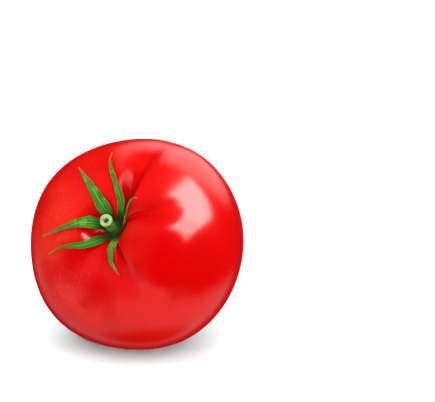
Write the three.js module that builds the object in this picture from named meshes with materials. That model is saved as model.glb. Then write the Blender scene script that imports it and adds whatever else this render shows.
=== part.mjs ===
// A ripe round tomato lying on its side, with its cut stalk and six sepals.
// Millimetres. +Z is up, the rest spot is centred on the origin, the stalk end faces -Y.
import * as THREE from 'three';

// Fruit body.
const fruitWidth = 81.8; // across the widest ring
const shoulderHeight = 29.5; // widest ring to stalk end, before the hollow is taken out
const blossomDepth = 35.4; // widest ring to blossom end, before the dimple
const hollowDepth = 4.2; // wide, shallow part of the stalk hollow
const hollowSpread = 30; // its spread, degrees from the stalk axis
const pitDepth = 5.5; // steep middle of the stalk hollow
const pitSpread = 12;
const dimpleDepth = 2.2; // blossom-end dimple
const dimpleSpread = 11;
const restDepth = 1.8; // how much of the underside the rest spot takes off

// Pose of the stalk axis: laid over from upright, then swung to the left.
const layOver = 59.3;
const swing = -21.2;

// Gentle swellings of the widest ring: how many, how strong, where the first one faces.
const swellings = [
  { count: 2, strength: 0.011, at: -5 },
  { count: 3, strength: 0.004, at: -60 },
  { count: 4, strength: 0.01, at: -33 },
  { count: 5, strength: 0.0065, at: 14 },
];

// Creases that run out from the stalk hollow. `at` is the direction the crease ends up in,
// `lean` how far it leans off that near the stalk, `sides` how wide it is before and after its
// deepest line, so that one side can be a steep lip, and `reach` where it fades; in degrees.
const creases = [
  { at: 81, lean: -24, depth: 6, sides: [4, 9], reach: 64 },
  { at: 24, lean: 20, depth: 2.2, sides: [10, 4.5], reach: 44 },
  { at: 303, lean: -8, depth: 2.2, sides: [9, 5], reach: 42 },
  { at: 275, lean: -3, depth: 0.8, sides: [6, 6], reach: 50 },
  { at: 223, lean: 8, depth: 1.6, sides: [9, 9], reach: 56 },
];

const creaseStart = 14; // how far out a crease has opened to its full depth
const creaseStraightens = 30; // how far out its lean has mostly gone
const creaseFlare = 1.2; // how fast it widens on the way out

// One side of the hollow drops away further, from where `dropStarts` runs to where `dropEnds` does.
const dropAt = 170;
const dropSpread = 58;
const dropDepth = 4.2;
const dropStarts = [6, 12];
const dropEnds = [17, 29];

// The full, steep-sided lobe that swells up beside the stalk.
const lobe = { at: 344, out: 36, height: 2.2, spreadAround: 36, spreadOut: 25 };

// Stalk stub. Heights are measured up from the floor of the hollow.
const stalkLength = 9.4;
const stalkRadius = 1.9;
const rimRadius = 2.4;
const footRadius = 2.9;
const footRise = 1; // from the skin at the foot's edge up to its widest ring
const underfoot = 0.9; // share of the foot that follows the hollow's floor
const rimBevel = 0.15;
const rimThickness = 0.5;
const pithRadius = 1;
const pithFloorRadius = 0.8;
const pithDepth = 1.6;
const stalkBend = 2.1; // sideways shift of the cut end
const stalkBendTo = 120; // direction of that shift

// Sepals. Each starts against the stalk's foot at `root`, a direction in degrees. Each spine point
// after that is [direction, degrees out from the root, height off the skin], and the widths are
// spaced evenly from root to tip.
const sepalThickness = 0.7;
const tipThinning = 0.5; // share of the thickness lost at the tip
const twistDoneAt = 0.3; // share of the length over which the twist comes in
const sepals = [
  {
    name: 'sepal_high_left', root: 108, twist: 0, widths: [2, 4.5, 3.3, 1.9, 0.5],
    spine: [[117, 3.4, 1], [125, 17.5, 1], [128, 28, 1.2], [131, 40.6, 2.2]],
  },
  {
    name: 'sepal_high', root: 62, twist: 20, widths: [2, 3, 2.1, 1.4, 0.5],
    spine: [[69, 4.5, 1], [78, 11.9, 1], [90, 19, 1], [104, 35.6, 1.6], [104, 43.6, 2.6]],
  },
  {
    name: 'sepal_right', root: 22, twist: 75, widths: [1.6, 2.4, 2.2, 1.6, 0.5],
    spine: [[34, 2.6, 1.8], [55, 9.7, 2], [58, 13.7, 2.2], [57, 16.6, 2.4], [53, 18.2, 2.2]],
  },
  {
    name: 'sepal_low', root: 300, twist: 0, widths: [1.9, 2.5, 2, 1.3, 0.5],
    spine: [[284, 7.3, 1], [282, 12.7, 1], [285, 18.3, 1.3], [293, 25.3, 2.4]],
  },
  {
    name: 'sepal_low_left', root: 250, twist: 0, widths: [1.9, 3.3, 2.3, 0.9, 0.5],
    spine: [[229, 6.4, 1.2], [221, 14.5, 1], [213, 22, 1], [208, 29.7, 1.4], [209, 37.6, 2.6]],
  },
  {
    name: 'sepal_left', root: 169, twist: 0, widths: [2, 4.4, 2.7, 1.2, 0.5],
    spine: [[171, 4, 1.3], [177, 12, 1.2], [184, 20.5, 1], [189, 28.4, 1.4], [193, 39.2, 2.6]],
  },
];

// Clearances between a piece and the one it grows from.
const joinGap = 0.3; // sepal to skin
const footGap = 0.45; // stalk foot to skin
const rootGap = 0.65; // sepal root to stalk foot
const footStart = 8; // where on the hollow's floor the stalk's foot is fitted, degrees out

// Mesh fineness.
const fruitAround = 96;
const fruitDown = 42;
const stalkAround = 24;
const sepalAround = 8;
const sepalAlong = 18;

const fruitColor = '#d80f08';
const stalkColor = '#5f9a3c';
const sepalColor = '#3d7d31';

const radians = THREE.MathUtils.degToRad;
const fullTurn = Math.PI * 2;

const bell = (x) => Math.exp(-x * x);
const plateau = (x) => Math.exp(-(x ** 4));
const angleBetween = (a, b) => THREE.MathUtils.euclideanModulo(a - b + Math.PI, fullTurn) - Math.PI;

// Half-width of the fruit's widest ring, looking out in one direction.
function ringRadius(around) {
  const swell = swellings.reduce(
    (sum, s) => sum + s.strength * Math.cos(s.count * (around - radians(s.at))), 0);
  return (fruitWidth / 2) * (1 + swell);
}

// Depth one crease takes off the skin.
function creaseDepth(crease, out, around) {
  const near = bell(out / radians(creaseStraightens));
  const off = angleBetween(around, radians(crease.at + crease.lean * near));
  const width = radians(crease.sides[off < 0 ? 0 : 1]) * (1 + creaseFlare * out * out);
  const along = (1 - bell(out / radians(creaseStart))) * Math.exp(-((out / radians(crease.reach)) ** 3));
  return crease.depth * bell(off / width) * along;
}

// How much further the fruit itself drops away under the sepals, which bridge the gap.
function dropUnderSepals(out, around) {
  const { smoothstep } = THREE.MathUtils;
  const across = bell(angleBetween(around, radians(dropAt)) / radians(dropSpread));
  const inner = smoothstep(out, ...dropStarts.map(radians));
  const outer = 1 - smoothstep(out, ...dropEnds.map(radians));
  return dropDepth * across * inner * outer;
}

// Distance from the fruit's centre to its skin before it is creased. `out` is the angle off the
// stalk axis, `around` the direction about it, both in radians.
function smoothRadius(out, around) {
  const rise = Math.cos(out);
  const half = THREE.MathUtils.lerp(
    blossomDepth, shoulderHeight, THREE.MathUtils.smoothstep(rise, -0.7, 0.7));
  const body = 1 / Math.hypot(Math.sin(out) / ringRadius(around), rise / half);
  const hollow = hollowDepth * bell(out / radians(hollowSpread)) + pitDepth * bell(out / radians(pitSpread));
  const dimple = dimpleDepth * bell((Math.PI - out) / radians(dimpleSpread));
  const bulge = lobe.height * plateau(angleBetween(around, radians(lobe.at)) / radians(lobe.spreadAround))
    * plateau((out - radians(lobe.out)) / radians(lobe.spreadOut));
  return body - hollow - dimple + bulge;
}

function skinRadius(out, around) {
  const folds = creases.reduce((sum, crease) => sum + creaseDepth(crease, out, around), 0);
  return smoothRadius(out, around) - folds;
}

// Point at a distance from the fruit's centre, in its own frame with the stalk axis along +Z.
function pointAt(out, around, distance) {
  const flat = new THREE.Vector3(Math.cos(around), Math.sin(around), 0);
  return flat.multiplyScalar(Math.sin(out)).setZ(Math.cos(out)).multiplyScalar(distance);
}

// Point at a height off the skin.
const overSkin = (out, around, height) => pointAt(out, around, skinRadius(out, around) + height);

// How far a point in the fruit's own frame stands off the skin.
function heightOffSkin(p) {
  return p.length() - skinRadius(Math.acos(p.z / p.length()), Math.atan2(p.y, p.x));
}

const middleOf = (ring) =>
  ring.reduce((sum, p) => sum.add(p), new THREE.Vector3()).divideScalar(ring.length);

// Closed skin over a stack of equal rings, top one first, with one point closing each end.
function closedStack(startPoint, rings, endPoint) {
  const count = rings[0].length;
  const positions = [startPoint, ...rings.flat(), endPoint].flatMap((p) => p.toArray());
  const last = 1 + rings.length * count;
  const faces = [];
  for (let i = 0; i < count; i += 1) {
    const next = (i + 1) % count;
    faces.push(0, 1 + i, 1 + next);
    for (let row = 0; row < rings.length - 1; row += 1) {
      const here = 1 + row * count;
      const below = here + count;
      faces.push(here + i, below + i, below + next, here + i, below + next, here + next);
    }
    faces.push(last - count + i, last, last - count + next);
  }
  const geometry = new THREE.BufferGeometry();
  geometry.setAttribute('position', new THREE.Float32BufferAttribute(positions, 3));
  geometry.setIndex(faces);
  geometry.computeVertexNormals();
  return geometry;
}

const fruitTurn = new THREE.Matrix4().makeRotationZ(radians(swing))
  .multiply(new THREE.Matrix4().makeRotationX(radians(layOver)));

// Rings of the fruit from the stalk end down, turned into the lying pose.
function lyingRings() {
  return Array.from({ length: fruitDown - 1 }, (_, row) => {
    const out = Math.PI * (row + 1) / fruitDown;
    return Array.from({ length: fruitAround }, (_, i) => {
      const around = fullTurn * i / fruitAround;
      return overSkin(out, around, -dropUnderSepals(out, around)).applyMatrix4(fruitTurn);
    });
  });
}

// Where the middle of the rest spot falls, seen from the fruit's centre.
function restSpot(points) {
  const floor = Math.min(...points.map((p) => p.z)) + restDepth;
  const box = new THREE.Box3().setFromPoints(points.filter((p) => p.z <= floor));
  return box.getCenter(new THREE.Vector3()).setZ(floor);
}

// The lying fruit, moved over the origin, with everything under the floor pressed flat.
function fruitGeometry(rings, spot) {
  const settle = (p) => {
    p.sub(spot);
    return p.setZ(Math.max(p.z, 0));
  };
  const stalkEnd = overSkin(0, 0, 0).applyMatrix4(fruitTurn);
  const blossomEnd = overSkin(Math.PI, 0, 0).applyMatrix4(fruitTurn);
  return closedStack(settle(stalkEnd), rings.map((ring) => ring.map(settle)), settle(blossomEnd));
}

// Angle off the stalk axis at which the hollow's wall is a given distance from the axis.
function outAtDistance(distance) {
  return Math.asin(distance / skinRadius(radians(footStart), 0));
}

// Height of the foot's widest ring over the hollow's floor.
function footHeight() {
  const out = outAtDistance(footRadius);
  return skinRadius(out, 0) * Math.cos(out) - skinRadius(0, 0) + footRise;
}

// The foot bridges the creases, so its underside follows the skin without them.
function stalkGeometry() {
  const hollowFloor = skinRadius(0, 0);
  const footTop = footHeight();
  const angles = Array.from({ length: stalkAround }, (_, i) => fullTurn * i / stalkAround);
  const footAngle = outAtDistance(footRadius);
  const under = (out, around) => pointAt(out, around, smoothRadius(out, around) + footGap);
  const underside = (out) => angles.map((around) => under(out, around));
  const bendAt = (height) => {
    const shift = stalkBend * (height / stalkLength) ** 2;
    return new THREE.Vector3(
      shift * Math.cos(radians(stalkBendTo)), shift * Math.sin(radians(stalkBendTo)), hollowFloor + height);
  };
  const ring = (radius, height) => angles.map((around) =>
    new THREE.Vector3(radius * Math.cos(around), radius * Math.sin(around), 0).add(bendAt(height)));
  const shoulder = THREE.MathUtils.lerp(footTop, stalkLength, 0.12);
  const waist = THREE.MathUtils.lerp(footTop, stalkLength, 0.3);
  const middle = THREE.MathUtils.lerp(footTop, stalkLength, 0.65);
  const rings = [
    ring(pithFloorRadius, stalkLength - pithDepth),
    ring(pithRadius, stalkLength - rimBevel),
    ring(rimRadius - rimBevel, stalkLength),
    ring(rimRadius, stalkLength - rimBevel),
    ring(rimRadius, stalkLength - rimThickness),
    ring(stalkRadius, middle),
    ring(stalkRadius, waist),
    ring((footRadius + stalkRadius) / 2, shoulder),
    ring(footRadius, footTop),
    underside(footAngle * underfoot),
    underside(footAngle * underfoot / 2),
  ];
  return closedStack(bendAt(stalkLength - pithDepth), rings, under(0, 0));
}

// One cross-section of a sepal: a flat lens lying over the skin, twisted about the spine and
// lifted as a whole wherever its edge would touch the fruit.
function bladeSection(sepal, spine, widths, t) {
  const centre = spine.getPointAt(t);
  const along = spine.getTangentAt(t);
  const side = new THREE.Vector3().crossVectors(along, centre).normalize();
  const off = new THREE.Vector3().crossVectors(side, along);
  const twist = radians(sepal.twist) * THREE.MathUtils.smoothstep(t, 0, twistDoneAt);
  side.applyAxisAngle(along, twist);
  off.applyAxisAngle(along, twist);
  const halfWidth = widths.getPoint(t).y / 2;
  const halfThick = sepalThickness / 2 * (1 - tipThinning * t);
  const section = Array.from({ length: sepalAround }, (_, i) => {
    const angle = fullTurn * i / sepalAround;
    return centre.clone()
      .addScaledVector(side, halfWidth * Math.cos(angle))
      .addScaledVector(off, halfThick * Math.sin(angle));
  });
  const lift = Math.max(0, ...section.map((p) => joinGap - heightOffSkin(p)));
  const outward = centre.clone().normalize();
  return section.map((p) => p.addScaledVector(outward, lift));
}

// A sepal's centreline: from beside the stalk's foot out along the skin.
function sepalSpine(sepal) {
  const distance = footRadius + rootGap;
  const rootOut = outAtDistance(distance);
  const facing = radians(sepal.root);
  const root = new THREE.Vector3(
    distance * Math.cos(facing), distance * Math.sin(facing), skinRadius(0, 0) + footHeight());
  const points = sepal.spine.map(
    ([around, out, height]) => overSkin(rootOut + radians(out), radians(around), height));
  return new THREE.CatmullRomCurve3([root, ...points], false, 'catmullrom');
}

function sepalGeometry(sepal) {
  const spine = sepalSpine(sepal);
  const widths = new THREE.SplineCurve(sepal.widths.map((width, i) => new THREE.Vector2(i, width)));
  const rings = Array.from(
    { length: sepalAlong + 1 }, (_, i) => bladeSection(sepal, spine, widths, i / sepalAlong));
  return closedStack(middleOf(rings[0]), rings, middleOf(rings[sepalAlong]));
}

function piece(name, geometry, color, roughness) {
  const mesh = new THREE.Mesh(
    geometry, new THREE.MeshStandardMaterial({ color, roughness, metalness: 0 }));
  mesh.name = name;
  return mesh;
}

function buildTomato() {
  const rings = lyingRings();
  const spot = restSpot(rings.flat());
  const crown = new THREE.Group();
  crown.name = 'crown';
  crown.applyMatrix4(fruitTurn);
  crown.position.copy(spot).negate();
  crown.add(piece('stem', stalkGeometry(), stalkColor, 0.7));
  sepals.forEach((sepal) => crown.add(piece(sepal.name, sepalGeometry(sepal), sepalColor, 0.65)));
  const tomato = new THREE.Group();
  tomato.name = 'tomato';
  tomato.add(piece('fruit', fruitGeometry(rings, spot), fruitColor, 0.2), crown);
  return tomato;
}

export default buildTomato();
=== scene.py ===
import math

import bpy
import numpy as np
from mathutils import Matrix, Vector


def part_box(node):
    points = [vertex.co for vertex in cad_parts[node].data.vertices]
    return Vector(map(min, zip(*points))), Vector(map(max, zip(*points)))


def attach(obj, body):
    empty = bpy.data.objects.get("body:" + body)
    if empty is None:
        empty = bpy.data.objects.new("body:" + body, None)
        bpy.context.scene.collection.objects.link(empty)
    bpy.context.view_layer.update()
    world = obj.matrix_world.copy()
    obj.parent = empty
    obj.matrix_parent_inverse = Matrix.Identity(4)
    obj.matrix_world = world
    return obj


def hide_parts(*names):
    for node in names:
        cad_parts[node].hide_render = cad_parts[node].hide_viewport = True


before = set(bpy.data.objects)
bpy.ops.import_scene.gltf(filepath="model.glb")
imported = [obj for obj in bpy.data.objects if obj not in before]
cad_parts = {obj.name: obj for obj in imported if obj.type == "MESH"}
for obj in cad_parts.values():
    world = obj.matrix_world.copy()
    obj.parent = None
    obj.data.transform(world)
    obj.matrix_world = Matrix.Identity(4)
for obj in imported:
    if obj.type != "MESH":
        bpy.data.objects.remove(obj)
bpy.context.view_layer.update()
print("frame loaded")

mm = 0.001
fullTurn = 2 * math.pi
pieceMap = "pieceMap"  # the UV layer of every piece
sharpEdge = 50  # edges that turn more than this stay crisp


class Wire:
    # one output socket, so shader maths reads as plain expressions
    def __init__(self, bench, socket):
        self.bench = bench
        self.socket = socket

    def maths(self, operation, *values):
        return self.bench.add("ShaderNodeMath", {"operation": operation}, dict(enumerate(values)))

    def __add__(self, other):
        return self.maths("ADD", self, other)

    def __radd__(self, other):
        return self.maths("ADD", other, self)

    def __sub__(self, other):
        return self.maths("SUBTRACT", self, other)

    def __rsub__(self, other):
        return self.maths("SUBTRACT", other, self)

    def __mul__(self, other):
        return self.maths("MULTIPLY", self, other)

    def __rmul__(self, other):
        return self.maths("MULTIPLY", other, self)

    def absolute(self):
        return self.maths("ABSOLUTE", self)

    def band(self, low, high):
        # 0 below low, 1 above high, smooth between; swapped ends turn it round
        return self.bench.add("ShaderNodeMapRange", {"interpolation_type": "SMOOTHSTEP"},
                              {"Value": self, "From Min": low, "From Max": high})


class Bench:
    # the nodes of one material or world
    def __init__(self, owner):
        self.owner = owner
        owner.use_nodes = True
        self.tree = owner.node_tree
        self.tree.nodes.clear()

    def add(self, kind, settings, sockets, out=0):
        node = self.tree.nodes.new(kind)
        for key, value in settings.items():
            setattr(node, key, value)
        for key, value in sockets.items():
            if isinstance(value, Wire):
                self.tree.links.new(value.socket, node.inputs[key])
            else:
                node.inputs[key].default_value = value
        return Wire(self, node.outputs[out]) if len(node.outputs) else None

    def mix(self, first, second, factor):
        sockets = {0: factor}
        for key, value in ((6, first), (7, second)):
            sockets[key] = value if isinstance(value, Wire) else (*value, 1)
        return self.add("ShaderNodeMix", {"data_type": "RGBA"}, sockets, 2)

    def place(self):
        return self.add("ShaderNodeTexCoord", {}, {}, "Object")

    def mapped(self):
        return self.add("ShaderNodeUVMap", {"uv_map": pieceMap}, {})

    def axis(self, vector, name):
        return self.add("ShaderNodeSeparateXYZ", {}, {"Vector": vector}, name)

    def compared(self, operation, first, second):
        return self.add("ShaderNodeVectorMath", {"operation": operation}, {0: first, 1: second}, "Value")

    def facing(self, vector, towards):
        return self.compared("DOT_PRODUCT", vector, towards)

    def away(self, vector, point):
        return self.compared("DISTANCE", vector, point)

    def noise(self, vector, scale, detail=3, roughness=0.5):
        return self.add("ShaderNodeTexNoise", {}, {
            "Vector": vector, "Scale": scale, "Detail": detail, "Roughness": roughness})

    def stretched(self, vector, scale):
        return self.add("ShaderNodeMapping", {}, {"Vector": vector, "Scale": scale})

    def bump(self, height, strength, distance):
        return self.add("ShaderNodeBump", {}, {"Height": height, "Strength": strength, "Distance": distance})

    def finish(self, sockets):
        shader = self.add("ShaderNodeBsdfPrincipled", {}, sockets)
        self.add("ShaderNodeOutputMaterial", {}, {"Surface": shader})
        return self.owner


def smoothstep(value, low, high):
    t = np.clip((value - low) / (high - low), 0, 1)
    return t * t * (3 - 2 * t)


def bell(x):
    return np.exp(-x * x)


def plateau(x):
    return np.exp(-x ** 4)


def turnBetween(a, b):
    return (a - b + math.pi) % fullTurn - math.pi


def turnsOf(count):
    return np.linspace(0, fullTurn, count, endpoint=False)


def compass(around, out):
    # unit vectors for directions about the stalk axis and angles off it
    around, out = np.broadcast_arrays(around, out)
    return np.stack([np.sin(out) * np.cos(around), np.sin(out) * np.sin(around), np.cos(out)], -1)


def lineThrough(points, count, finer=50):
    # an even line of points through the given ones, which it rounds off smoothly
    points = np.array(points, float)
    padded = np.vstack([2 * points[0] - points[1], points, 2 * points[-1] - points[-2]])
    t = np.linspace(0, 1, finer, endpoint=False)[:, None]
    pieces = []
    for a, b, c, d in zip(padded, padded[1:], padded[2:], padded[3:]):
        slopeIn, slopeOut = (c - a) / 2, (d - b) / 2
        pieces.append(b + slopeIn * t + (3 * (c - b) - 2 * slopeIn - slopeOut) * t ** 2
                      + (2 * (b - c) + slopeIn + slopeOut) * t ** 3)
    dense = np.vstack(pieces + [points[-1:]])
    run = np.concatenate([[0], np.cumsum(np.linalg.norm(np.diff(dense, axis=0), axis=1))])
    at = np.linspace(0, run[-1], count)
    return np.stack([np.interp(at, run, column) for column in dense.T], 1)


def ringPiece(name, rings, uv, material, node):
    # a closed piece from a stack of rings given in the fruit's own frame
    rows, count = rings.shape[:2]
    rings = laidDown(rings)
    ends = np.stack([rings[0].mean(0), rings[-1].mean(0)])
    verts = np.vstack([rings.reshape(-1, 3), ends]) * mm
    i = np.arange(count)
    j = (i + 1) % count
    faces = []
    for here in range(0, (rows - 1) * count, count):
        below = here + count
        faces += np.stack([here + i, below + i, below + j, here + j], 1).tolist()
    top, last = rows * count, (rows - 1) * count
    faces += np.stack([np.full(count, top), i, j], 1).tolist()
    faces += np.stack([np.full(count, top + 1), last + j, last + i], 1).tolist()
    mesh = bpy.data.meshes.new(name)
    mesh.from_pydata(verts.tolist(), [], faces)
    mesh.polygons.foreach_set("use_smooth", [True] * len(mesh.polygons))
    mesh.set_sharp_from_angle(angle=math.radians(sharpEdge))
    corners = np.zeros(len(mesh.loops), int)
    mesh.loops.foreach_get("vertex_index", corners)
    layer = mesh.uv_layers.new(name=pieceMap)
    spread = np.vstack([uv.reshape(-1, 2), uv[0].mean(0), uv[-1].mean(0)])
    layer.data.foreach_set("uv", spread[corners].ravel())
    piece = bpy.data.objects.new(name, mesh)
    bpy.context.scene.collection.objects.link(piece)
    mesh.materials.append(material)
    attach(piece, "root")
    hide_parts(node)
    return piece


fruit = {
    "width": 81.8,
    "shoulderHeight": 29.5,
    "blossomDepth": 35.4,
    "halvesBlend": 0.7,
    "hollow": (4.2, 30),  # depth and spread
    "pit": (5.5, 12),
    "dimple": (2.2, 11),
    "restDepth": 1.8,
    "layOver": 59.3,
    "swing": -21.2,
    "swellings": [(2, 0.011, -5), (3, 0.004, -60), (4, 0.01, -33), (5, 0.0065, 14)],
    "lobe": {"at": 344, "out": 36, "height": 2.2, "spreadAround": 36, "spreadOut": 25},
    "creases": [
        {"at": 81, "lean": -24, "depth": 6, "widths": (4, 9), "reach": 64},
        {"at": 24, "lean": 20, "depth": 2.2, "widths": (10, 4.5), "reach": 44},
        {"at": 303, "lean": -8, "depth": 2.2, "widths": (9, 5), "reach": 42},
        {"at": 275, "lean": -3, "depth": 0.8, "widths": (6, 6), "reach": 50},
        {"at": 223, "lean": 8, "depth": 1.6, "widths": (9, 9), "reach": 56},
    ],
    "creaseStart": 14,
    "creaseStraightens": 30,
    "creaseFlare": 1.2,
    "foldedFully": 2.4,  # a crease this deep has its full painted shade and dulling
    "moat": {"at": 170, "spread": 58, "depth": 4.2, "starts": (6, 12), "ends": (17, 29)},
    "restGrid": (42, 96),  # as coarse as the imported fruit, so both rest on the same spot
    "grid": (200, 400),
    "ripeRed": (0.50, 0.0006, 0.0007),
    "blushRed": (0.57, 0.0045, 0.002),
    "blushScale": 32,
    "mottleRed": (0.46, 0.0005, 0.0007),
    "mottleScale": 110,
    "mottleShare": 0.25,
    "lateSide": (-1, 0, -0.45),  # the side that ripens last
    "lateEdge": (-0.014, 0.006),
    "shoulderOrange": (0.64, 0.020, 0.005),
    "shoulderStart": (0.12, 0.2),  # on the way from the stalk end, 0, to the blossom end, 1
    "shoulderEnd": (0.46, 0.30),
    "shoulderScale": 60,
    "shoulderShare": 0.5,
    "grainOrange": (0.74, 0.06, 0.02),
    "grainScale": 1000,
    "grainShare": 0.3,
    "creaseShadeRed": (0.40, 0.0004, 0.0007),
    "creaseEnd": (0.34, 0.2),
    "creaseShadeShare": 0.6,
    "creaseDulls": 0.5,
    "roughness": 0.26,
    "glossRoughness": 0.2,
    "glossIor": 1.8,
    "rimStart": (0.70, 0.97),  # where the gloss fades on what is seen edge on
    "rimDulls": 0.9,
    "patchShadeRed": (0.43, 0.0003, 0.0005),
    "patchEdge": (1.15, 0.2),
    "patchRagged": 1.6,
    "shadePatches": [  # spots painted a deeper red as shade and dark reflection, with duller gloss
        {"out": 38, "around": 337, "size": 13, "deeper": 0.9, "duller": 0.55},
        {"out": 58, "around": 342, "size": 17, "deeper": 0.9, "duller": 0.55},
        {"out": 47, "around": 267, "size": 9, "deeper": 0.9, "duller": 0.7},
        {"out": 54, "around": 219, "size": 7, "deeper": 0.6, "duller": 0.5},
        {"out": 23, "around": 291, "size": 7, "deeper": 0.8, "duller": 0.95},
        {"out": 34, "around": 83, "size": 10, "deeper": 0.5, "duller": 0.9},
        {"out": 40, "around": 222, "size": 8, "deeper": 0.7, "duller": 0.6},
        {"out": 30, "around": 226, "size": 6, "deeper": 0.6, "duller": 0.6},
        {"out": 30, "around": 40, "size": 8, "deeper": 0.6, "duller": 0.4},
    ],
}


def creaseDepth(crease, out, around):
    near = bell(out / math.radians(fruit["creaseStraightens"]))
    off = turnBetween(around, np.radians(crease["at"] + crease["lean"] * near))
    width = np.radians(np.where(off < 0, *crease["widths"])) * (1 + fruit["creaseFlare"] * out * out)
    start = 1 - bell(out / math.radians(fruit["creaseStart"]))
    end = np.exp(-(out / math.radians(crease["reach"])) ** 3)
    return crease["depth"] * bell(off / width) * start * end


def moatDepth(out, around):
    # one side of the hollow drops away further, under the sepals
    moat = fruit["moat"]
    side = bell(turnBetween(around, math.radians(moat["at"])) / math.radians(moat["spread"]))
    start = smoothstep(out, *np.radians(moat["starts"]))
    return moat["depth"] * side * start * (1 - smoothstep(out, *np.radians(moat["ends"])))


def skinRadius(out, around):
    swell = sum(strength * np.cos(count * (around - math.radians(at)))
                for count, strength, at in fruit["swellings"])
    ring = fruit["width"] / 2 * (1 + swell)
    rise = np.cos(out)
    fuller = fruit["shoulderHeight"] - fruit["blossomDepth"]
    blend = fruit["halvesBlend"]
    half = fruit["blossomDepth"] + fuller * smoothstep(rise, -blend, blend)
    radius = 1 / np.hypot(np.sin(out) / ring, rise / half)
    for depth, spread in (fruit["hollow"], fruit["pit"]):
        radius = radius - depth * bell(out / math.radians(spread))
    depth, spread = fruit["dimple"]
    radius = radius - depth * bell((math.pi - out) / math.radians(spread))
    for crease in fruit["creases"]:
        radius = radius - creaseDepth(crease, out, around)
    lobe = fruit["lobe"]
    side = plateau(turnBetween(around, math.radians(lobe["at"])) / math.radians(lobe["spreadAround"]))
    along = plateau((out - math.radians(lobe["out"])) / math.radians(lobe["spreadOut"]))
    return radius + lobe["height"] * side * along


def overSkin(out, around, height):
    return compass(around, out) * (skinRadius(out, around) + height)[..., None]


def fruitSurface(out, around):
    return overSkin(out, around, -moatDepth(out, around))


def heightOffSkin(points):
    far = np.linalg.norm(points, axis=-1)
    return far - skinRadius(np.arccos(points[..., 2] / far), np.arctan2(points[..., 1], points[..., 0]))


def skinGrid(down, around):
    # angles off the stalk axis and directions about it, from the stalk end down
    return np.meshgrid(np.linspace(0, math.pi, down + 1)[1:-1], turnsOf(around), indexing="ij")


def findLyingPose():
    # the turn that lays the fruit on its side, and the middle of its rest spot after it
    turn = np.array(Matrix.Rotation(math.radians(fruit["swing"]), 3, "Z")
                    @ Matrix.Rotation(math.radians(fruit["layOver"]), 3, "X"))
    lying = fruitSurface(*skinGrid(*fruit["restGrid"])) @ turn.T
    floor = lying[..., 2].min() + fruit["restDepth"]
    pressed = lying[lying[..., 2] <= floor]
    spot = (pressed.max(0) + pressed.min(0)) / 2
    spot[2] = floor
    return turn, spot


fruitTurn, restSpot = findLyingPose()


def laidDown(points):
    # from the fruit's own frame to the floor's; what would sink under it is pressed flat
    lying = points @ fruitTurn.T - restSpot
    lying[..., 2] = np.maximum(lying[..., 2], 0)
    return lying


def skinMaterial():
    b = Bench(bpy.data.materials.new("ripeSkin"))
    place = b.place()
    uv = b.mapped()
    down = b.axis(uv, "Y")  # 0 at the stalk end, 1 at the blossom end
    folded = b.axis(uv, "X") * down.band(*fruit["creaseEnd"])
    blush = b.noise(place, fruit["blushScale"], 2).band(0.35, 0.68)
    mottle = b.noise(place, fruit["mottleScale"], 2).band(0.3, 0.7)
    color = b.mix(fruit["ripeRed"], fruit["blushRed"], blush)
    color = b.mix(color, fruit["mottleRed"], mottle * fruit["mottleShare"])
    # the shoulders ripen last; the creases get a painted shade, a deeper red
    late = b.facing(place, fruit["lateSide"]).band(*fruit["lateEdge"])
    shoulder = down.band(*fruit["shoulderStart"]) * down.band(*fruit["shoulderEnd"]) * late
    cloud = b.noise(place, fruit["shoulderScale"], 2).band(0.42, 0.66)
    color = b.mix(color, fruit["shoulderOrange"], shoulder * cloud * fruit["shoulderShare"])
    # painted shade: the deeper a crease, the darker red it is painted
    color = b.mix(color, fruit["creaseShadeRed"], folded.band(0.12, 0.75) * fruit["creaseShadeShare"])
    grain = b.noise(place, fruit["grainScale"], 2, 0.6).band(0.54, 0.72)
    color = b.mix(color, fruit["grainOrange"], grain * shoulder * fruit["grainShare"])
    edgeOn = b.add("ShaderNodeLayerWeight", {}, {"Blend": 0.5}, "Facing")
    gloss = 1 - edgeOn.band(*fruit["rimStart"]) * fruit["rimDulls"]
    gloss = gloss * (1 - folded.band(0.1, 0.8) * fruit["creaseDulls"])
    ragged = (b.noise(place, fruit["mottleScale"]) - 0.5) * fruit["patchRagged"]
    for patch in fruit["shadePatches"]:
        out, around = np.radians((patch["out"], patch["around"]))
        spot = Vector(laidDown(fruitSurface(out, around)) * mm)
        near = b.away(place, spot) * (1 / (patch["size"] * mm)) + ragged
        near = near.band(*fruit["patchEdge"])
        # painted shade: each spot is mixed towards a darker red
        color = b.mix(color, fruit["patchShadeRed"], near * patch["deeper"])
        gloss = gloss * (1 - near * patch["duller"])
    return b.finish({
        "Base Color": color, "Roughness": fruit["roughness"] + 0.06 * mottle, "Specular IOR Level": 0.0,
        "Coat Weight": gloss, "Coat Roughness": fruit["glossRoughness"], "Coat IOR": fruit["glossIor"],
    })


def buildFruit():
    out, around = skinGrid(*fruit["grid"])
    folds = sum(creaseDepth(crease, out, around) for crease in fruit["creases"])
    uv = np.stack([np.minimum(1, folds / fruit["foldedFully"]), out / math.pi], -1)
    skin = ringPiece("fruitSkin", fruitSurface(out, around), uv, skinMaterial(), "fruit")
    skin.visible_diffuse = False  # keeps its red off the pale floor
    print("fruit built")


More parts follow.
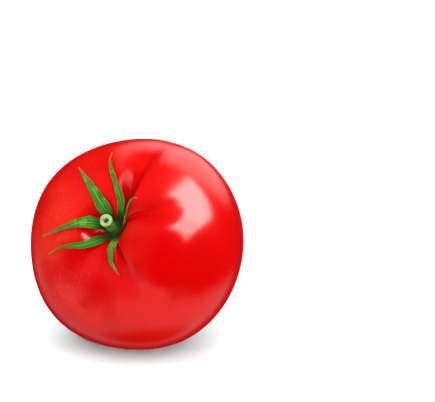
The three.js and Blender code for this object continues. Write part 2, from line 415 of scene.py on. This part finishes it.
stalk = {
    "length": 9.4,
    "crown": [  # radius and height over the cut end, from the pith's floor out and down
        (0.1, -1.6), (0.75, -1.5), (0.95, -0.9), (1.05, -0.2), (1.2, 0.02), (1.7, 0.1),
        (2.15, 0), (2.38, -0.2), (2.36, -0.7), (2.1, -1.8), (1.9, -3.2)],
    "foot": [(1.95, 1.6), (2.3, 0.8), (2.8, 0.15), (2.95, -0.5)],  # the same over the foot
    "footRadius": 2.9,
    "footRise": 1.0,
    "footGap": 0.15,
    "footStart": 8,
    "bend": 2.1,
    "bendTo": 120,
    "ribs": 5,
    "ribShare": 0.1 / 1.9,  # rib height over the stalk's radius
    "ribStart": (0.3, 0.6),
    "lumps": [(2, 0.02, 1.1, 0), (3, 0.015, 0, 4)],  # how many, strength, start, twist
    "profileSteps": 90,
    "underFoot": (0.95, 0.2),  # the foot's underside, as shares of its reach
    "footSteps": 6,
    "around": 96,
    "darkGreen": (0.02, 0.075, 0.01),
    "lightGreen": (0.10, 0.22, 0.035),
    "cutGreen": (0.20, 0.30, 0.11),
    "cutPale": (0.38, 0.46, 0.22),
    "pithGreen": (0.05, 0.13, 0.02),
    "footShadeGreen": (0.008, 0.035, 0.004),
    "pithEnd": (0.17, 0.12),  # on the way from the pith, 0, to under the foot, 1
    "cutEnd": (0.34, 0.30),
    "footDarkens": (0.5, 0.88),
    "footShare": 0.92,
    "grainScale": 900,
    "grainStretch": (1, 1, 0.25),
    "cutScale": 1400,
    "grainHeight": 0.3,
}


def outAtDistance(distance):
    # how far off the stalk axis the hollow's wall is this distance from the axis
    return math.asin(distance / float(skinRadius(math.radians(stalk["footStart"]), 0.0)))


def footTop():
    out = outAtDistance(stalk["footRadius"])
    return float(skinRadius(out, 0.0)) * math.cos(out) - float(skinRadius(0.0, 0.0)) + stalk["footRise"]


def stalkMaterial():
    b = Bench(bpy.data.materials.new("greenStalk"))
    place = b.place()
    along = b.axis(b.mapped(), "Y")  # 0 in the pith, 1 under the foot
    grain = b.noise(b.stretched(place, stalk["grainStretch"]), stalk["grainScale"], 4, 0.6)
    green = b.mix(stalk["darkGreen"], stalk["lightGreen"], grain.band(0.3, 0.7))
    fiber = b.noise(place, stalk["cutScale"]).band(0.35, 0.65)
    color = b.mix(green, b.mix(stalk["cutGreen"], stalk["cutPale"], fiber), along.band(*stalk["cutEnd"]))
    color = b.mix(color, stalk["pithGreen"], along.band(*stalk["pithEnd"]))
    # painted shade: the stalk darkens to near black towards its foot, down among the sepals
    color = b.mix(color, stalk["footShadeGreen"], along.band(*stalk["footDarkens"]) * stalk["footShare"])
    return b.finish({"Base Color": color, "Roughness": 0.62 - 0.12 * grain,
                     "Normal": b.bump(grain, 0.5, stalk["grainHeight"] * mm), "Specular IOR Level": 0.25})


def buildStalk():
    turn = turnsOf(stalk["around"])
    floor, length, top = float(skinRadius(0.0, 0.0)), stalk["length"], footTop()
    profile = [(radius, length + height) for radius, height in stalk["crown"]]
    profile += [(radius, top + height) for radius, height in stalk["foot"]]
    share = np.linspace(0, 1, stalk["profileSteps"])
    facing = math.radians(stalk["bendTo"])
    rings = []
    for (radius, height), s in zip(lineThrough(profile, stalk["profileSteps"]), share):
        ribs = np.cos(stalk["ribs"] * turn + 0.6) * smoothstep(s, *stalk["ribStart"])
        lumps = sum(strength * np.sin(count * turn + start + twist * s)
                    for count, strength, start, twist in stalk["lumps"])
        reach = radius * (1 + stalk["ribShare"] * ribs) * (1 + lumps)
        shift = stalk["bend"] * max(height, 0) ** 2 / length ** 2
        rings.append(np.stack([
            reach * np.cos(turn) + shift * math.cos(facing),
            reach * np.sin(turn) + shift * math.sin(facing),
            np.full_like(turn, floor + height)], -1))
    first, last = (outAtDistance(stalk["footRadius"]) * under for under in stalk["underFoot"])
    for out in np.linspace(first, last, stalk["footSteps"]):
        rings.append(overSkin(np.full_like(turn, out), turn, stalk["footGap"]))
    v = np.concatenate([share * 0.95, np.linspace(0.96, 1, stalk["footSteps"])])
    uv = np.stack(np.broadcast_arrays(turn[None, :] / fullTurn, v[:, None]), -1)
    ringPiece("cutStalk", np.array(rings), uv, stalkMaterial(), "stem")
    print("stalk built")


blade = {  # what the six sepals share
    "thickness": 0.55,
    "tipThinning": 0.45,
    "rootGap": 0.65,
    "rootReach": 0.55,  # where the root starts inside the stalk's foot, as a share of the way out
    "rootDrop": 0.3,
    "skinGap": 0.12,
    "twistDoneAt": 0.3,
    "fold": 0.16,
    "rib": 0.12,
    "ribSpread": 0.16,
    "edgeWave": 0.12,
    "waves": 3.2,
    "edgeNotch": 0.05,
    "notches": 4.3,
    "nextPhase": 0.37,  # sets each sepal's waves off from the one before
    "stations": 90,
    "around": 32,
    "darkGreen": (0.006, 0.050, 0.003),
    "leafGreen": (0.036, 0.205, 0.010),
    "brightGreen": (0.12, 0.40, 0.03),
    "veinGreen": (0.30, 0.52, 0.14),
    "edgeGreen": (0.22, 0.42, 0.13),
    "rootShadeGreen": (0.003, 0.018, 0.002),
    "tipGreen": (0.12, 0.17, 0.07),
    "rootEnd": (0.32, 0.06),  # on the way from root, 0, to tip, 1
    "tipStart": (0.7, 1.0),
    "streakScale": 1.6,
    "streakStretch": (14, 2.2, 1),
    "patchScale": 260,
    "fuzzScale": 3,
    "fuzzStretch": (40, 14, 1),
    "reliefHeight": 0.3,
}

# a spine point is direction, degrees out from the root, height off the skin
sepals = {
    "sepal_high_left": {
        "root": 108, "twist": 0, "widths": [2, 4.5, 3.3, 1.9, 0.3],
        "spine": [[117, 3.4, 1], [125, 17.5, 1], [128, 28, 1.2], [131, 40.6, 2.2]]},
    "sepal_high": {
        "root": 62, "twist": 20, "widths": [2, 3, 2.1, 1.4, 0.3],
        "spine": [[69, 4.5, 1], [78, 11.9, 1], [90, 19, 1], [104, 35.6, 1.6], [104, 43.6, 2.6]]},
    "sepal_right": {
        "root": 22, "twist": 75, "widths": [1.6, 2.4, 2.2, 1.6, 0.3],
        "spine": [[34, 2.6, 1.8], [55, 9.7, 2], [58, 13.7, 2.2], [57, 16.6, 2.4], [53, 18.2, 2.2]]},
    "sepal_low": {
        "root": 300, "twist": 0, "widths": [1.9, 2.5, 2, 1.3, 0.3],
        "spine": [[284, 7.3, 1], [282, 12.7, 1], [285, 18.3, 1.3], [293, 25.3, 2.4]]},
    "sepal_low_left": {
        "root": 250, "twist": 0, "widths": [1.9, 3.3, 2.3, 0.9, 0.3],
        "spine": [[229, 6.4, 1.2], [221, 14.5, 1], [213, 22, 1], [208, 29.7, 1.4], [209, 37.6, 2.6]]},
    "sepal_left": {
        "root": 169, "twist": 0, "widths": [2, 4.4, 2.7, 1.2, 0.3],
        "spine": [[171, 4, 1.3], [177, 12, 1.2], [184, 20.5, 1], [189, 28.4, 1.4], [193, 39.2, 2.6]]},
}


def sepalMaterial():
    b = Bench(bpy.data.materials.new("sepalGreen"))
    uv = b.mapped()
    fromMid = (b.axis(uv, "X") - 0.5).absolute() * 2
    along = b.axis(uv, "Y")  # 0 at the root, 1 at the tip
    streak = b.noise(b.stretched(uv, blade["streakStretch"]), blade["streakScale"], 4, 0.6)
    patch = b.noise(b.place(), blade["patchScale"])
    green = b.mix(blade["darkGreen"], blade["leafGreen"], streak.band(0.38, 0.62))
    green = b.mix(green, blade["brightGreen"], patch.band(0.48, 0.66) * 0.42)
    vein = (fromMid - 0.5).absolute().band(0.09, 0.02)
    midrib = fromMid.band(0.12, 0.02)
    green = b.mix(green, blade["veinGreen"], (midrib * 0.3 + vein * 0.15) * along.band(0.95, 0.6))
    green = b.mix(green, blade["edgeGreen"], fromMid.band(0.8, 0.95) * streak.band(0.4, 0.6) * 0.5)
    # painted shade: the sepals darken to near black at their roots, around the stalk's foot
    green = b.mix(green, blade["rootShadeGreen"], along.band(*blade["rootEnd"]) * 0.92)
    green = b.mix(green, blade["tipGreen"], along.band(*blade["tipStart"]) * patch.band(0.25, 0.6) * 0.75)
    fuzz = b.noise(b.stretched(uv, blade["fuzzStretch"]), blade["fuzzScale"], 3, 0.7)
    relief = streak * 0.6 + fuzz * 0.5 - midrib * 0.6
    return b.finish({"Base Color": green, "Roughness": 0.5 + 0.2 * fuzz,
                     "Normal": b.bump(relief, 0.6, blade["reliefHeight"] * mm),
                     "Specular IOR Level": 0.2, "Sheen Weight": 0.04, "Sheen Roughness": 0.4})


def sepalSpine(sepal):
    reach = stalk["footRadius"] + blade["rootGap"]
    rootOut = outAtDistance(reach)
    facing = math.radians(sepal["root"])
    level = float(skinRadius(0.0, 0.0)) + footTop()
    inner = blade["rootReach"] * reach  # the root grows out of the stalk's foot
    points = [
        (inner * math.cos(facing), inner * math.sin(facing), level - blade["rootDrop"]),
        (reach * math.cos(facing), reach * math.sin(facing), level),
    ]
    for around, out, height in sepal["spine"]:
        points.append(overSkin(rootOut + np.radians(out), np.radians(around), height))
    return lineThrough(points, blade["stations"])


def bladeRings(sepal, phase):
    # cross-sections of one sepal from root to tip, each with its place across and along it
    centre = sepalSpine(sepal)
    along = np.gradient(centre, axis=0)
    along /= np.linalg.norm(along, axis=1)[:, None]
    side = np.cross(along, centre)
    side /= np.linalg.norm(side, axis=1)[:, None]
    off = np.cross(side, along)
    t = np.linspace(0, 1, blade["stations"])
    twist = np.radians(sepal["twist"]) * smoothstep(t, 0, blade["twistDoneAt"])
    cos, sin = np.cos(twist)[:, None], np.sin(twist)[:, None]
    side, off = side * cos + off * sin, off * cos - side * sin
    widths = lineThrough(list(enumerate(sepal["widths"])), 200)
    width = np.interp(t * (len(sepal["widths"]) - 1), widths[:, 0], widths[:, 1])[:, None]
    turn = turnsOf(blade["around"])
    x, z = np.cos(turn)[None, :], np.sin(turn)[None, :]
    t = t[:, None]
    notch = np.sin(fullTurn * (blade["notches"] * t + phase + 0.2 * np.sign(x)))
    half = width / 2 * (1 + blade["edgeNotch"] * notch)
    narrow = np.minimum(1, half)  # finer relief where the blade is slim
    wave = np.sin(fullTurn * (blade["waves"] * t + phase)) * x * np.abs(x) * narrow
    thick = blade["thickness"] / 2 * (1 - blade["tipThinning"] * t) * z
    fold = blade["fold"] * half * (np.abs(x) ** 1.5 - 0.4)
    rib = -blade["rib"] * bell(x / blade["ribSpread"]) * (1 - 0.6 * t) * narrow
    rise = thick + fold + rib + blade["edgeWave"] * wave
    rings = centre[:, None] + side[:, None] * (half * x)[..., None] + off[:, None] * rise[..., None]
    lack = np.maximum(0, (blade["skinGap"] - heightOffSkin(rings)).max(1))
    outward = centre / np.linalg.norm(centre, axis=1)[:, None]
    rings = rings + (outward * lack[:, None])[:, None]
    return rings, np.stack(np.broadcast_arrays((x + 1) / 2, t), -1)


def buildSepals():
    material = sepalMaterial()
    for number, (node, sepal) in enumerate(sepals.items()):
        rings, uv = bladeRings(sepal, blade["nextPhase"] * number)
        ringPiece(node.replace("sepal_", "leaf_"), rings, uv, material, node)
    print("sepals built")


studio = {
    "cameraElevation": 18,
    "cameraDistance": 700,
    "lens": 154.2,
    "aim": (30.31, 5.53, 14.3),  # from the middle of the fruit
    "floorRadius": 6000,
    "floorSides": 64,
    "floorColor": (0.95, 0.95, 0.95),
    "floorGlow": 0.08,
    "softboxTowards": (0.52, -0.30, 0.78),
    "softboxDistance": 1000,
    "softboxSize": (720, 680),
    "softboxPower": 9,
    "roomLights": {  # towards, glow
        "tent": ((0.3, -0.25, 1), 6.3),
        "bounce": ((-0.2, -0.5, -1), 2.5),
    },
    "roomSpread": 170,
    "panelTowards": (0.383, 0.663, 0.643),
    "panelEdge": (0.78, 0.95),
    "panelGlow": 1.45,
    "leftTowards": (-0.852, -0.397, 0.342),
    "leftEdge": (0.45, 0.97),
    "leftGlow": 0.13,
    "behindTowards": (0, 0.951, -0.309),
    "behindEdge": (0.58, 0.82),
    "horizon": (-0.2, -0.46),  # from the air down to the lit floor
    "underFruit": (-0.86, -0.98),
    "floorTilt": 0.18,
    "rightBrighter": 0.3,
    "floorShine": 0.32,
    "airShine": 0.02,
}


def buildFloor():
    radius = studio["floorRadius"] * mm
    sides = studio["floorSides"]
    edge = [(radius * math.cos(a), radius * math.sin(a), 0) for a in turnsOf(sides)]
    mesh = bpy.data.meshes.new("floor")
    mesh.from_pydata(edge, [], [list(range(sides))])
    floor = bpy.data.objects.new("floor", mesh)
    bpy.context.scene.collection.objects.link(floor)
    b = Bench(bpy.data.materials.new("paleFloor"))
    shade = b.noise(b.place(), 3, 2).band(0.3, 0.7)
    color = b.mix(studio["floorColor"], tuple(0.98 * c for c in studio["floorColor"]), shade)
    mesh.materials.append(b.finish({
        "Base Color": color, "Roughness": 0.3, "Specular IOR Level": 0.3,
        "Emission Color": (1, 1, 1, 1), "Emission Strength": studio["floorGlow"]}))
    floor.visible_glossy = False
    floor.visible_diffuse = False
    floor.visible_shadow = False  # lets the light that a pale floor throws back come from below


def buildWorld():
    world = bpy.data.worlds.new("studioAir")
    bpy.context.scene.world = world
    b = Bench(world)
    world.cycles_visibility.diffuse = False  # the lamps light things; this is only what gloss shows
    ray = b.add("ShaderNodeTexCoord", {}, {}, "Generated")
    x, z = b.axis(ray, "X"), b.axis(ray, "Z")
    panel = b.facing(ray, studio["panelTowards"]).band(*studio["panelEdge"]) * studio["panelGlow"]
    left = b.facing(ray, studio["leftTowards"]).band(*studio["leftEdge"]) * studio["leftGlow"]
    # a lit floor, darker right under the fruit and behind it
    lit = (z + studio["floorTilt"] * x).band(*studio["horizon"]) * (1 + studio["rightBrighter"] * x)
    lit = lit * (1 - z.band(*studio["underFruit"]))
    lit = lit * (1 - b.facing(ray, studio["behindTowards"]).band(*studio["behindEdge"]))
    glow = panel + left + lit * studio["floorShine"] + studio["airShine"]
    shine = b.add("ShaderNodeBackground", {}, {"Color": (1, 1, 1, 1), "Strength": glow})
    plain = b.add("ShaderNodeBackground", {}, {"Color": (1, 1, 1, 1), "Strength": 1.0})
    direct = b.add("ShaderNodeLightPath", {}, {}, "Is Camera Ray")
    both = b.add("ShaderNodeMixShader", {}, {0: direct, 1: shine, 2: plain})
    b.add("ShaderNodeOutputWorld", {}, {"Surface": both})


def hangLamp(name, light, towards):
    lamp = bpy.data.objects.new(name, light)
    lamp.rotation_euler = Vector(towards).to_track_quat("Z", "Y").to_euler()
    bpy.context.scene.collection.objects.link(lamp)
    return lamp


def buildSoftbox(middle):
    light = bpy.data.lights.new("softbox", "AREA")
    light.shape = "RECTANGLE"
    light.size, light.size_y = (s * mm for s in studio["softboxSize"])
    light.energy = studio["softboxPower"]
    lamp = hangLamp("softbox", light, studio["softboxTowards"])
    lamp.location = middle + Vector(studio["softboxTowards"]).normalized() * studio["softboxDistance"] * mm
    lamp.visible_diffuse = False  # the room lights the fruit; this one is what its gloss shows


def buildRoomLights():
    # soft light from half the room each, without a reflection of its own
    for name, (towards, glow) in studio["roomLights"].items():
        light = bpy.data.lights.new(name, "SUN")
        light.energy = glow
        light.angle = math.radians(studio["roomSpread"])
        light.cycles.use_multiple_importance_sampling = False
        hangLamp(name, light, towards).visible_glossy = False


def buildCamera(middle):
    tip = math.radians(studio["cameraElevation"])
    back = Vector((0, -math.cos(tip), math.sin(tip)))
    camera = bpy.data.cameras.new("camera")
    camera.lens = studio["lens"]
    camera.clip_start = 0.01
    holder = bpy.data.objects.new("camera", camera)
    holder.location = middle + Vector(studio["aim"]) * mm + back * studio["cameraDistance"] * mm
    holder.rotation_euler = (math.pi / 2 - tip, 0, 0)
    bpy.context.scene.collection.objects.link(holder)
    bpy.context.scene.camera = holder


def buildStudio():
    low, high = (Vector(corner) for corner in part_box("fruit"))
    middle = (low + high) / 2
    buildFloor()
    buildWorld()
    buildRoomLights()
    buildSoftbox(middle)
    buildCamera(middle)
    bpy.context.scene.view_settings.view_transform = "Standard"
    print("studio built")


buildFruit()
buildStalk()
buildSepals()
buildStudio()
